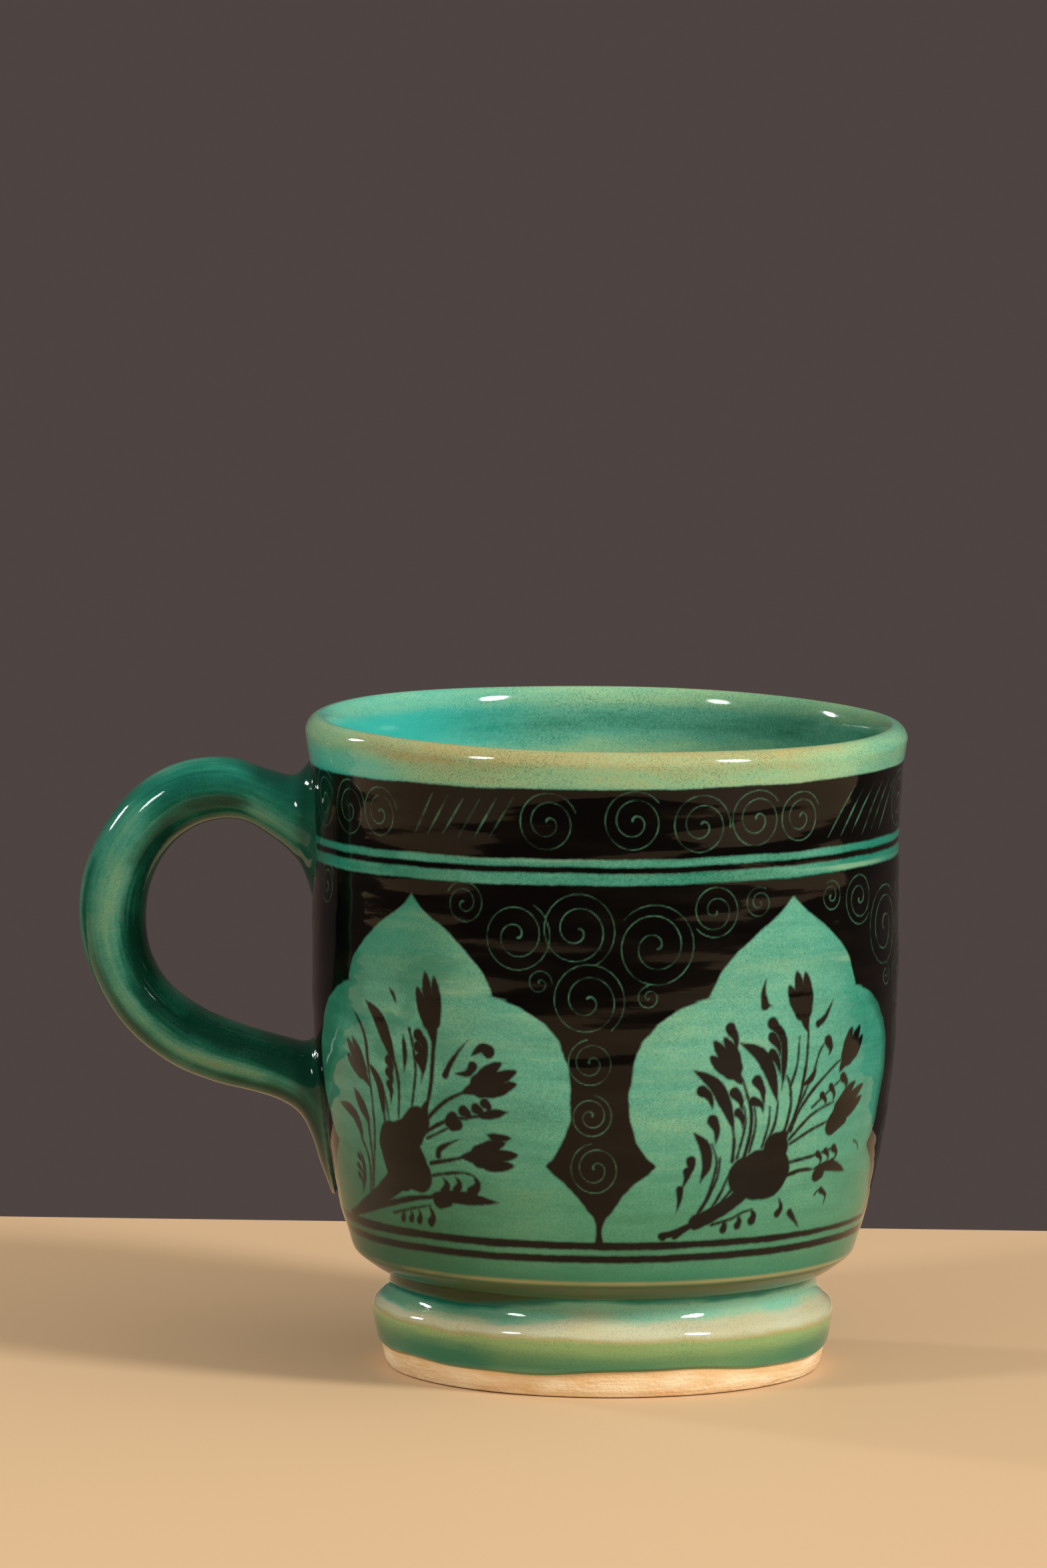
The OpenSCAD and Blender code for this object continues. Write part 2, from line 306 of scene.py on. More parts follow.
def scroll(across, height, radius, turns, start, hand):
    """A spiral scratched from its outer ring into its middle."""
    t = np.linspace(0, 1, int(26 * turns))
    reach = radius * (1.03 - 0.96 * t**1.6)
    angle = np.radians(start) + hand * 2 * pi * turns * t
    path = np.column_stack([across + reach * np.cos(angle) * 0.97, height + reach * np.sin(angle)])
    return path, SCRATCH / 2 * (0.8 + 0.6 * smooth(0.8, 1, t))


# The two sprays, as marks by kind: width, then the place across and the height of each point
FIRST_SPRAY = {
    "blob": (
        (4.6, -5.4, 39, -4.8, 37.4), (6.4, -2.9, 37.4, -1.6, 35.1), (5.2, -1.2, 34, -0.3, 33.8),
        (6.2, -5, 37.8, -4.2, 34.2), (4.6, -4, 38.9, -0.8, 40.2), (4.4, -0.7, 40.6, 0.7, 42),
        (2.4, 3.5, 30.1, 4.9, 30.4), (1.6, 7.4, 42, 8.4, 42.2),
    ),
    "line": (
        (1.2, -23.1, 25, -15.6, 27), (1, -18.5, 26, -7.6, 28.6, -1.3, 30, 3.6, 30.6),
        (0.5, 2.4, 33.8, 5.2, 34.4, 8.9, 34.8, 10.7, 34.4), (0.4, -7.7, 27, -2.8, 28.2, 1.5, 29.1),
        (0.55, -13.4, 37.9, -12.3, 35.8, -12.4, 32.7, -13.8, 29.1),
        (0.55, -10.9, 40.7, -10.9, 37.5, -11.3, 34, -13, 29.5),
        (0.5, -9.6, 46.8, -9.3, 43, -9.6, 38.4, -12.2, 30.4), (0.5, -6.6, 43, -6.4, 39.9, -6.3, 39.1),
        (0.6, -3.3, 50.7, -2.7, 47.1, -3.3, 42), (0.45, -7.3, 48.2, -6, 45.3, -5.5, 41.7),
        (0.55, -0.1, 56.1, 0.8, 52.4, 0.8, 48.6, -0.5, 43.2), (0.75, 4.6, 54.8, 4.2, 50.8, 3.6, 47, 2.3, 43.1),
        (0.65, 3, 42.9, 6.3, 45.6, 10.4, 47.6), (0.65, 2.6, 40.8, 6.5, 42.7, 10.1, 43.4, 13.7, 44),
        (0.45, 2.4, 39.6, 5.9, 41.2, 8.3, 42.2), (0.65, 2.7, 35.8, 7.3, 36.8, 9.6, 37.4),
    ),
    "leaf": (
        (1.9, 1.5, 30.6, 6.6, 30.9, 10.7, 30.7, 14.6, 30.5), (0.7, -13.8, 57.9, -10.8, 55, -9.8, 51.3, -9.5, 45),
        (1.7, -19.6, 42.8, -15.6, 41.9, -13.6, 39.8, -13.1, 37.2),
        (1.7, -14.4, 45.6, -12.6, 43.4, -11.2, 41.6, -10.7, 39.8),
        (0.9, -14.9, 36, -14.1, 34.4, -14.8, 31.6, -16.4, 28.9),
        (1.5, -9.6, 50, -7.8, 48.1, -6.9, 45.9, -6.6, 41.6), (2.2, -10, 59.5, -6.9, 57.1, -5, 54.1, -3.1, 50),
        (0.9, -1.4, 55.3, -1.1, 52.2, -1.4, 49.4), (1, 1.3, 55.9, 2.9, 54.6, 2.8, 51.6, 1.9, 48),
        (0.6, -4.3, 62.1, -3.4, 61, -2.7, 59.5), (1.4, 11.8, 43.7, 14.3, 44.2, 17, 44.7),
        (1.2, 13.3, 41, 15, 40.6, 17.4, 40.7),
    ),
    "drop": (
        (2.2, 1.6, 42.4, 3, 45.6), (3.4, -5.4, 32.4, -11.6, 29, -22.6, 25.2),
        (1.7, 1.6, 55.4, 2.5, 54.2, 2.7, 52.7), (1.5, 1.5, 53.6, 2.4, 52.5, 2.4, 51.2),
        (1.4, 1.6, 51.8, 2.1, 50.8, 2.1, 49.5), (1.5, -4.7, 50.9, -4.1, 49.8, -4.4, 48.3),
        (1.4, -4.8, 49.1, -4.3, 48.1, -4.6, 46.5), (1.2, -4.9, 47.2, -4.5, 46.2, -4.8, 44.2),
        (1, -15.4, 34.9, -14.6, 34.3, -14.6, 33.2), (1, -16.2, 33.4, -15.4, 32.8, -15.3, 31.7),
        (1, -16.4, 31.9, -15.8, 31.3, -15.7, 30.3), (1.8, 14, 53.7, 12.8, 54.2, 11, 52.8),
        (1, 6.5, 49.6, 7.9, 52.1, 10.7, 55.4), (1.4, 11.3, 51.3, 10.4, 50.2, 8.1, 50),
        (1.9, 7.5, 43.1, 6.7, 42.4, 7.8, 41.2), (1.6, 9.5, 44.4, 10.3, 43.9, 9.7, 42.9),
        (1.5, 11.7, 44.9, 12.5, 44.4, 11.8, 43.4), (1.4, 13.2, 45.8, 13.9, 45.1, 13.3, 44),
        (1.5, 4.7, 31.4, 5.5, 32.6, 4.7, 33.9), (1.4, 7.1, 31.8, 7.9, 33, 7.1, 34.2),
        (1.7, 10, 31.8, 11.2, 33.1, 10.5, 34.7), (1, -5.5, 26.3, -5, 27.1, -5.4, 27.9),
        (1, -3.5, 26.4, -3, 27.2, -3.4, 28.1), (1.1, -1.6, 26.4, -1.1, 27.4, -1.5, 28.5),
        (1.3, 1, 26.4, 1.7, 27.5, 1.1, 29.2), (1, 4.3, 37.1, 4.9, 38.3, 8.5, 40),
    ),
    "tulip": (
        (4, 4.6, 54.5, 3, 65), (3.6, -10, 46.8, -15.3, 53), (4.4, 10.1, 47.4, 18.3, 50.9),
        (4.2, 9.2, 37.3, 18.2, 38.1),
    ),
}

SECOND_SPRAY = {
    "blob": (
        (5.4, -7.4, 34.6, -5.5, 34.6), (7, -5, 34.6, -3, 34.6), (6.2, -2.6, 34.4, -2.2, 35.1),
        (4.4, -2.3, 37.1, -2, 38.6), (1.8, -1.6, 39.3, -0.8, 40.2),
        (2.2, -15.4, 27.8, -12.8, 28.8, -9.1, 30.8, -6.6, 32.8), (2, 7.8, 33.5, 8.6, 33.8),
        (2.6, 9.8, 40.8, 12.6, 42),
    ),
    "line": (
        (1.1, -21, 25.8, -18.6, 26.3, -15.4, 27.8), (0.9, -18.8, 25.6, -17, 26.8, -14, 28.2),
        (0.55, -13.3, 29.1, -11.5, 32.1, -10.3, 34.9), (0.55, -11.5, 30.4, -9.6, 32.6, -8.2, 34.4),
        (0.6, -15.2, 29, -13.7, 31.6, -12.8, 34.7, -12.6, 37.3, -13.6, 39.9),
        (0.6, -14.7, 29.7, -13.2, 32.4, -12.2, 35, -12.1, 37.7), (0.6, -9.9, 37, -9.8, 39.9, -10.3, 42.2),
        (0.5, -9.1, 37.5, -8.2, 41.7, -8.3, 44.7, -9.3, 47.1),
        (0.65, -7.8, 37.6, -7.1, 41.2, -7.2, 44.7, -8.1, 47.4, -9, 49.7),
        (0.5, -7, 38.3, -6.3, 41.9, -6.5, 44.6, -7, 46), (0.5, -4.7, 38.8, -3.9, 42.2, -3.8, 45),
        (0.55, -4, 39.2, -2.7, 42.3, -2.3, 45.8), (0.6, -0.6, 41.1, 0.2, 44.9, -0.1, 47.9, -0.9, 49.6),
        (0.5, 0, 47.9, 1.1, 51.2, 1.3, 55.3), (0.65, 0, 40.7, 1.6, 44.4, 2.5, 48.1, 3.1, 52.6, 3, 56.9),
        (0.5, 1.5, 43.8, 3.2, 47.1, 4.7, 49.4), (0.6, 0.6, 41, 2, 44, 5.3, 47.4, 9.8, 50.4, 11.6, 51),
        (0.55, 0.5, 39.7, 4.8, 43.1, 9.9, 44.6), (0.55, 0.8, 39, 5.2, 40.8, 9.6, 41.9),
        (0.55, 0.5, 36, 6, 36.6, 11.1, 37.3), (0.65, 0.9, 34.1, 3.6, 34.6, 7.1, 34.5),
        (0.5, -12.5, 27.3, -9.2, 28, -7.4, 28.8, -5.3, 29.3), (0.45, 4.8, 50.1, 5.8, 52.7, 7.2, 54.4),
        (0.4, 8.2, 30.4, 8.8, 30.9, 9.6, 30.9), (0.35, 17.2, 37.8, 18.6, 37.2, 19.2, 36.2),
        (0.45, 4.8, 44.2, 7.3, 45.8, 12.1, 48.3),
    ),
    "leaf": (
        (1.7, -16.6, 41.7, -14.7, 39.4, -14.2, 36.7, -15.1, 34),
        (2, -16.9, 51.2, -13.6, 49, -11.8, 46.2, -9.9, 41.6), (2.1, -9.4, 55, -6, 53.2, -4, 50.3, -2.4, 45.6),
        (1.2, -3.7, 58.2, -2, 56, -1.5, 52.2, -1.7, 47.4), (1.6, 6.6, 34.5, 11.2, 34.6, 15.7, 33.3),
        (1, 7.6, 34.3, 9.8, 34.8, 12.3, 35.9), (1, 2.2, 47.7, 4.2, 48.7, 5.3, 50.6),
    ),
    "drop": (
        (1.1, -20.7, 25.6, -20.1, 26.6), (1.6, -11.2, 57.4, -10.3, 55.7, -10.2, 53.6),
        (1.7, -3.9, 57.7, -2.7, 56.3, -2.2, 54.3), (1.5, -3.9, 55.6, -2.7, 54.2, -2.1, 52.2),
        (1.5, -3.8, 53.1, -2.7, 51.7, -2.1, 49.6), (1.6, -6.4, 49.2, -5.3, 47.6, -4.9, 45.2),
        (1.4, -6.9, 46.1, -5.4, 45.4, -5, 44), (1.6, -15.6, 48.1, -14.3, 47.1, -13.7, 45),
        (1.6, -13.7, 43.5, -12.9, 41.9, -13, 39.6), (1.6, -10.2, 47.6, -9.1, 46.3, -8.7, 44.4),
        (1.3, -9.5, 44.5, -8.7, 43.6, -8.5, 41.8), (1.4, -16.9, 37.4, -16.8, 36.2, -17.6, 34.5),
        (1.2, -17.4, 35.8, -17.4, 34.9, -18.1, 33), (1.1, -18.4, 33, -18.4, 31.4, -18.8, 29.3),
        (1.3, -5.3, 60.5, -5.6, 62.6, -5.1, 64.6), (0.7, -5.2, 60.7, -3.9, 60.3),
        (1.1, 5.2, 57, 6.8, 58, 8.7, 60.5), (1.6, 7.6, 54.2, 8.3, 53, 7.9, 51.9),
        (1.1, 6.9, 45.9, 7.8, 45.1, 8, 44), (1.1, 8.9, 47, 9.8, 45.9, 9.7, 44.5),
        (1.4, 11.8, 48.2, 12.8, 47.4, 12.9, 46), (1, 7.3, 36.8, 8.3, 35.9, 7.9, 34.7),
        (1, 9.2, 37.1, 10.1, 36.2, 9.9, 35), (1.2, 11.3, 37.3, 12.2, 36.5, 11.7, 35.2),
        (1.2, -10.3, 26.4, -10.2, 27.2, -10.9, 28), (1.2, -7.7, 26.9, -7.5, 27.7, -8.1, 28.7),
        (1.4, -5.1, 27.5, -4.9, 28.4, -5.6, 29.4), (1.2, 0, 28.2, 0.6, 29.1, -0.2, 30.7),
        (1.1, 2.7, 28.1, 4, 27, 5.7, 25.5), (1, 9.6, 30.9, 11.2, 30, 11, 28.4),
    ),
    "tulip": (
        (4.2, 2.7, 56.7, 0.6, 65.3), (4, 11.2, 49.6, 16.1, 55.6), (4.2, 9.2, 41.8, 18, 46.4),
        (4, -9.3, 49.3, -13.8, 55.6),
    ),
}

# The windows: side in degrees, and the spray in it, turned over or not, and how far it sways
WINDOWS = (
    (-40.5, FIRST_SPRAY, False, 0), (39, SECOND_SPRAY, False, 0),
    (122.5, FIRST_SPRAY, True, 0.5), (206, SECOND_SPRAY, True, -0.45),
)
# Sides of the black pendants between them, from the one before the first window
MIDDLES = [side for side, *_ in WINDOWS]
PENDANT_SIDES = [(a + b) / 2 for a, b in zip([MIDDLES[-1] - 360] + MIDDLES, MIDDLES)]

# Scrolls over a pendant: millimetres from its middle, height, radius, turns, start and hand
PENDANT_SCROLLS = (
    (-3.6, 72.4, 5.7, 2.3, -60, 1), (-12.9, 71.4, 5.3, 2.3, 60, -1), (8.1, 70, 6.2, 2.5, 140, -1),
    (17.4, 75.2, 3.9, 2.3, -140, 1), (24.8, 76.1, 2.3, 1.9, 60, 1), (-21.4, 75.9, 3.2, 2.1, 150, -1),
    (-2, 61.9, 5.6, 2.4, -50, 1), (-1.4, 52.5, 3.5, 2.2, 100, 1), (-1.4, 44.4, 3.2, 2.2, 80, -1),
    (-0.7, 36.3, 3.9, 2.2, 100, 1), (-9.2, 64.4, 1.9, 1.4, 0, 1), (7.2, 62.4, 1.7, 1.5, 100, 1),
)

# The upper band: hatched groups by side in degrees, slant and half width, and the scrolls between them
HATCHES = ((-28.7, 3.9, 6.7), (61, 6.2, 7.3), (149.5, 4.8, 7), (242, 5.2, 7))
BAND_SCROLLS = ((17.6, 4.5), (33.4, 4.6), (46.4, 4.6), (58.6, 4.4), (69.6, 3.9))

# Distance given where no mark is near, in millimetres
FAR = 9.0


def chart(side, middle):
    """Millimetres round the wall from a middle to other sides, all in degrees."""
    return np.radians((side - middle + 180) % 360 - 180) * CHART_RADIUS


def nearest(marks, across, height, field):
    """Lowers the field to each point's distance from the nearest mark, less than nothing inside it."""
    reach = 1
    for path, half in marks:
        low, high = path.min(0) - half.max() - reach, path.max(0) + half.max() + reach
        near = np.flatnonzero((across > low[0]) & (across < high[0]) & (height > low[1]) & (height < high[1]))
        if not len(near):
            continue
        p = np.column_stack([across[near], height[near]])[:, None]
        a, run = path[None, :-1], np.diff(path, axis=0)[None]
        share = np.clip(((p - a) * run).sum(2) / np.maximum((run**2).sum(2), 1e-9), 0, 1)
        away = np.linalg.norm(p - a - run * share[..., None], axis=2)
        edge = half[None, :-1] + (half[1:] - half[:-1])[None] * share
        field[near] = np.minimum(field[near], (away - edge).min(1))
    return field


def spray(parts, mirrored, sway):
    """A spray's marks. A mirrored or swayed one stands for another hand-painted window."""
    marks = []
    for kind, strokes in parts.items():
        for width, *numbers in strokes:
            moved = []
            for across, height in zip(numbers[::2], numbers[1::2]):
                across = across + sway * sin(height * 0.23 + across * 0.31)
                height = height + sway * 0.7 * cos(across * 0.4 + height * 0.17)
                moved.append((-across if mirrored else across, height))
            marks += tulip(width, *moved) if kind == "tulip" else [mark(kind, width, *moved)]
    return marks


def window_distance(across, height, wobble):
    """Distance outside a window's outline, less than nothing inside it."""
    edge = spaced(np.asarray(WINDOW_EDGE, float), 0.5)
    wide = np.interp(-height, -edge[:, 1], edge[:, 0])
    wide = wide + 0.22 * np.sin(height * 0.33 + wobble + np.sign(across)) + 0.1 * np.sin(height * 0.9 + 2 * wobble)
    slope = np.gradient(edge[:, 0], edge[:, 1] + np.arange(len(edge)) * 1e-9)
    steep = np.interp(-height, -edge[:, 1], np.abs(slope))
    away = (np.abs(across) - wide) / np.sqrt(1 + np.clip(steep, 0, 6) ** 2)
    return np.maximum(away, np.maximum(height - edge[0, 1], edge[-1, 1] - height))


def between(low, high, height):
    return np.maximum(low - height, height - high)


def slip_distance(side, height):
    """Distance from the black slip, less than nothing inside it."""
    a = np.radians(side)
    wave = 0.1 * np.sin(3 * a + 0.6) + 0.05 * np.sin(11 * a) + 0.03 * np.sin(29 * a + 1)
    level = height + wave - painted_tilt(side, height)
    slip = np.minimum(between(*GROUND, level), between(*BAND, level - 0.05 * np.sin(17 * a)))
    slip = np.minimum(slip, between(*LINE, level + 0.04 * np.sin(7 * a)))
    slip = np.minimum(slip, between(*RING, level - wave * 0.5))
    for number, (middle, *painted) in enumerate(WINDOWS):
        across = chart(side, middle)
        slip = np.maximum(slip, -window_distance(across, height, number * 1.7))
        slip = nearest(spray(*painted), across, height, slip)
    return slip


def scratch_distance(side, height):
    """Distance from the lines scratched through the slip, less than nothing inside them."""
    scratch = np.full(len(side), FAR)
    for number, middle in enumerate(PENDANT_SIDES):
        flip = 1 if number % 2 else -1
        scrolls = [
            scroll(flip * x, z, radius, turns, start if flip > 0 else 180 - start, flip * hand)
            for x, z, radius, turns, start, hand in PENDANT_SCROLLS
        ]
        nearest(scrolls, chart(side, middle), height, scratch)
    level = (BAND[0] + BAND[1]) / 2
    for number, (middle, slant, half) in enumerate(HATCHES):
        tall = 2 + slant * 0.28
        strokes = [
            mark("leaf", SCRATCH * 1.25, (x - slant / 2, level + 0.4 - tall + 0.3 * sin(x * 3)),
                 (x + slant / 2, level + 0.5 + tall + 0.3 * cos(x * 2)))
            for x in np.linspace(-half, half, 6)
        ]
        for count, (turn, radius) in enumerate(BAND_SCROLLS):
            x = radians(turn + 0.8 * sin(number * 2 + count)) * CHART_RADIUS
            stray = sin(count * 2.3 + number)
            strokes.append(scroll(x, level + 0.4 * stray, radius, 2.3, 20 + 25 * stray, 1))
        nearest(strokes, chart(side, middle), height, scratch)
    return scratch


def store(piece, name, values):
    layer = piece.data.attributes.new(name, "FLOAT", "POINT")
    layer.data.foreach_set("value", np.asarray(values, np.float32))


# Materials


class Wire:
    """A node's output, which sums and products turn into Math nodes."""

    def __init__(self, graph, socket):
        self.graph, self.socket = graph, socket

    def math(self, operation, *values):
        return self.graph.node("ShaderNodeMath", {"operation": operation}, dict(enumerate(values)))

    def __add__(self, other):
        return self.math("ADD", self, other)

    def __sub__(self, other):
        return self.math("SUBTRACT", self, other)

    def __rsub__(self, other):
        return self.math("SUBTRACT", other, self)

    def __mul__(self, other):
        return self.math("MULTIPLY", self, other)

    __radd__ = __add__
    __rmul__ = __mul__


class Graph:
    """Adds nodes to the tree of a material or of the world."""

    def __init__(self, owner):
        owner.use_nodes = True
        self.tree = owner.node_tree

    def node(self, kind, settings, sockets, output=0):
        made = self.tree.nodes.new(kind)
        for key, value in settings.items():
            if key == "stops":
                self.set_stops(made.color_ramp, value)
            else:
                setattr(made, key, value)
        for key, value in sockets.items():
            self.feed(made.inputs[key], value)
        return Wire(self, made.outputs[output])

    def feed(self, socket, value):
        if isinstance(value, Wire):
            self.tree.links.new(value.socket, socket)
        else:
            socket.default_value = value

    def set_stops(self, ramp, stops):
        while len(ramp.elements) < len(stops):
            ramp.elements.new(1)
        for element, (place, colour) in zip(ramp.elements, stops):
            element.position = place
            element.color = (*colour, 1)

    def span(self, value, start, end, at_start=0, at_end=1):
        """Eases from one number to another while a value goes from start to end, which may lie below it."""
        return self.node("ShaderNodeMapRange", {"interpolation_type": "SMOOTHSTEP"}, {
            "Value": value, "From Min": start, "From Max": end, "To Min": at_start, "To Max": at_end})

    def mix(self, share, first, second, blend="MIX"):
        first, second = (each if isinstance(each, Wire) else (*each, 1) for each in (first, second))
        settings = {"data_type": "RGBA", "blend_type": blend}
        return self.node("ShaderNodeMix", settings, {0: share, 6: first, 7: second}, 2)

    def coat(self, colour, *layers):
        """Lays colours over one another, each by its own mask."""
        for mask, over in layers:
            colour = self.mix(mask, colour, over)
        return colour

    def ramp(self, value, *stops):
        return self.node("ShaderNodeValToRGB", {"stops": stops}, {"Fac": value})

    def part(self, vector, number):
        return self.node("ShaderNodeSeparateXYZ", {}, {"Vector": vector}, number)


class Finish(Graph):
    """A material made of one Principled shader and the nodes that feed it. Places are in millimetres."""

    def __init__(self, name):
        self.material = bpy.data.materials.new(name)
        super().__init__(self.material)
        self.shader = self.tree.nodes["Principled BSDF"]
        self.place = self.node("ShaderNodeTexCoord", {}, {}, "Object")

    def noise(self, scale, detail=2, stretch=(1, 1, 1), shift=(0, 0, 0), rough=0.5, where=None):
        """Noise of so many cells to a metre, squeezed along the axes by stretch."""
        sockets = {"Vector": where or self.place, "Scale": stretch, "Location": shift}
        where = self.node("ShaderNodeMapping", {}, sockets)
        sockets = {"Vector": where, "Scale": scale, "Detail": detail, "Roughness": rough}
        return self.node("ShaderNodeTexNoise", {}, sockets)

    def drift(self, size, scale, detail=3, **settings):
        """Noise of a given size to either side of nothing."""
        return (self.noise(scale, detail, **settings) - 0.5) * size

    def axis(self, number):
        return self.part(self.place, number) * (1 / MM)

    def radius(self):
        flat = self.node("ShaderNodeVectorMath", {"operation": "MULTIPLY"}, {0: self.place, 1: (1 / MM, 1 / MM, 0)})
        return self.node("ShaderNodeVectorMath", {"operation": "LENGTH"}, {0: flat}, "Value")

    def attribute(self, name, output="Fac"):
        return self.node("ShaderNodeAttribute", {"attribute_name": name}, {}, output)

    def bump(self, value, depth):
        made = self.node("ShaderNodeBump", {}, {"Height": value, "Distance": depth * MM}, "Normal")
        self.feed(self.shader.inputs["Normal"], made)

    def set(self, **sockets):
        """Sets the shader's sockets and gives the material."""
        for key, value in sockets.items():
            self.feed(self.shader.inputs[key.replace("_", " ")], value)
        return self.material

    def glossy(self, colour, least=0.05, most=0.1):
        """Sets a glaze's gloss, a little duller in places, and gives the material."""
        rough = self.span(self.noise(60, 3), 0.3, 0.7, least, most)
        return self.set(Base_Color=colour, Roughness=rough, IOR=GLAZE_INDEX)


# Painted shade: what the glaze colour is multiplied by low on the left of the wall, inside on the side away from
# the handle, and on the left of the foot where its shoulder meets the neck
LEFT_SHADE = (0.42, 0.5, 0.46)
FAR_SHADE = (0.62, 0.65, 0.6)
NECK_SHADE = (0.45, 0.55, 0.5)


def glaze_colour(finish, depth, look, streaks):
    """The glaze from thin to pooled, with drifts, streaks round the wall and fine dark specks."""
    slow = finish.noise(26, 2, (1, 1, 1.6)) * 0.34 + finish.noise(85, 4, (1, 1, 7)) * streaks
    fine = finish.drift(0.26, 3000, 1) + finish.noise(700, 2) * 0.08
    stops = zip((0.06, 0.26, 0.5, 0.74, 1), (look.thin, look.streak, look.body, look.pooled, look.deepest))
    colour = finish.ramp(depth + slow + fine - 0.21 - streaks / 2, *stops)
    return finish.mix(specks(finish), colour, look.speck)


def specks(finish):
    """Fine dark grain, denser in drifts."""
    grain = finish.span(finish.noise(4200, 2, rough=0.7), 0.46, 0.7)
    return grain * finish.span(finish.noise(120, 2), 0.3, 0.7, 0.28, 0.6)


def ripples(finish):
    """Slow rings of the throwing and a faint orange peel, as height for the bump."""
    return finish.noise(34, 2, (1, 1, 8)) + finish.noise(620, 2, (1, 1, 2)) * 0.07


def wall_finish(look):
    """Tan on the lip, green in the windows, darker between the rings and over the lower corner."""
    finish = Finish("painted_wall_glaze")
    span, noise, drift = finish.span, finish.noise, finish.drift
    x, height = finish.axis(0), finish.axis(2)
    wander = height + drift(2.6, 60)
    slip_edge = finish.attribute("slip")

    lip = span(wander, 95.2, 98.4) * span(finish.radius(), LIP_MIDDLE[0] - 0.6, LIP_MIDDLE[0] + 1)
    lip = lip * span(x + drift(30, 40), 42, 28)
    low = span(height, GROUND[0] + 26, GROUND[0] - 2)
    rings = span(height, 78.6, 79.6) * span(height, 93.8, 92.8)
    # Painted shade: the wall is darker and cooler towards both sides, where it turns away from the camera.
    sides = span(x.math("ABSOLUTE", x), 29, 44)
    # Painted shade: the lower wall's glaze is also made deeper on the left.
    depth = 0.47 + low * (0.08 + span(x, -8, -30) * 0.2) + rings * 0.12 + sides * 0.16
    depth = depth - span(height, 93, 94.4) * 0.22 - lip * 0.17

    ridges = span(noise(30, 2, (1, 1, 16), (0, 0, 0.3)), 0.58, 0.8) * 0.4
    arris = span(height, CORNER - 0.55, CORNER) * span(height, CORNER + 0.6, CORNER)
    cool = span(x + drift(20, 50), -24, -38) * span(height, 80, 94)
    # Painted shadow: the glaze is darkened beside the black slip near the right edge, below about 75 mm.
    painted_shadow_strip = span(slip_edge, 2.6, 0.4) * span(x, 39.5, 42.5)
    # Mottled pools of glaze, growing stronger to the left as painted shade; upper is a painted shade over the left
    # wall between about 62 and 77 mm.
    mottle_and_left_shade = span(noise(95, 3, (1, 1, 1.6), (0.7, 0, 0)), 0.48, 0.6) * span(x, -14, -30, 0.12, 0.55)
    upper = span(wander, 58, 66) * span(height, 78, 76) * span(x, -16, -26)
    green = finish.coat(
        glaze_colour(finish, depth, look, 0.3),
        (sides * span(height, 92, 94, 0.5, 0), look.cool_deep),
        (ridges * span(height, 46, 66) * span(height, 94, 92), look.ridge),
        (span(height, 20, 50, 0.62, 0), look.low_green),
        (span(height, 18.8, 21.4, 0.45, 0), look.pooled),
        # Brownish glaze under the arris, partly painted shade where the wall turns under to the neck.
        (span(height, CORNER - 0.1, CORNER - 0.9), look.dull_glaze_and_shade),
        (arris * 0.8, look.thin),
        (cool * (0.5 - lip * 0.45), look.cool),
        (specks(finish) * span(height, 92, 95, 0, 0.35), look.speck),
        (painted_shadow_strip * span(height, 74, 77, 0.6, 0), look.deepest),
        (mottle_and_left_shade * span(height, 93, 90), look.pooled),
        (upper * 0.5, look.pooled),
    )
    # Painted shade: the lower wall on the left is multiplied darker.
    painted_left_shade = span(x, -8, -36) * span(height, GROUND[0] + 16, CORNER)
    green = finish.mix(painted_left_shade, green, LEFT_SHADE, "MULTIPLY")

    fray = drift(0.3, 900)
    slip = span(slip_edge + fray, look.softness, -look.softness)
    scratch = span(finish.attribute("scratch") + fray * 0.4, 0.14, -0.14)
    worn = span(noise(330, 3, shift=(0.2, 0, 0)), 0.3, 0.66, 0.1, 0.8)
    wiped = span(x, -42.5, -44.2) * span(height, 47, 53) * span(height, 79, 75)
    brushed = span(noise(75, 3, (1, 1, 4)), 0.4, 0.8)
    black = finish.coat(look.slip, (brushed, look.thin_slip), (wiped, look.amber), (scratch * worn, look.scratch))
    finish.bump(ripples(finish) + slip * 0.12, 0.08)
    return finish.glossy(finish.mix(slip, green, black))


def inside_finish(look):
    """Pale under the lip, a turquoise pool on the handle's side, and painted shade on the far one."""
    finish = Finish("inside_glaze")
    span, x, height = finish.span, finish.axis(0), finish.axis(2)
    wander = height + finish.drift(3, 60)
    belt = span(wander, 91, 94.5) * span(wander, 99, 96.5)
    colour = glaze_colour(finish, 0.33 + belt * 0.26 + span(height, 22, 60, 0.2, 0), look, 0.32)
    # Painted shade over the inside on the side away from the handle.
    far = span(x, -4, 36) * span(wander, 96, 101, 1, 0.75)
    colour = finish.mix(far, colour, FAR_SHADE, "MULTIPLY")
    pool = span(x + finish.drift(12, 50), -8, -37) * span(wander, 84, 92) * span(wander, 97, 99.5, 0.75, 0.4)
    grain = specks(finish) * span(height, 95, 98, 0, 0.35)
    finish.bump(ripples(finish), 0.08)
    return finish.glossy(finish.coat(colour, (pool, look.cool), (grain, look.speck)))


